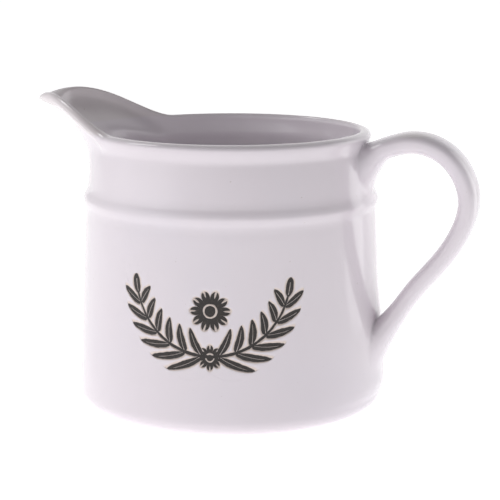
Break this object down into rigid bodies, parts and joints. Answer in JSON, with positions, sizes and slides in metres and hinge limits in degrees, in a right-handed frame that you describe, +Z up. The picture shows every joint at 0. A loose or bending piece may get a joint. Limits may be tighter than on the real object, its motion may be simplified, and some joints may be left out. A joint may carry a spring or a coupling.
{
  "type": "milk jug",
  "caption": "Glazed off-white ceramic milk jug with a slightly conical body, incised line, pulled pouring spout with rolled lip, and a strap handle opposite",
  "frame": {"origin": "centre of the foot ring, on the plane the jug rests on", "axes": "+Z up, +X from the jug's axis toward the handle, -X toward the pouring spout, +Y to the right-hand side when seen from behind the handle looking along -X"},
  "size_m": [0.1747, 0.118, 0.1193],
  "materials": {
    "glaze": "glossy, very slightly uneven off-white glaze",
    "ornament_stain": "dark brown-black stain pressed into the clay under the glaze",
    "bare_clay": "matt unglazed fired clay on the foot ring"
  },
  "bodies": {
    "root": {"jug": "glaze"}
  },
  "joints": []
}
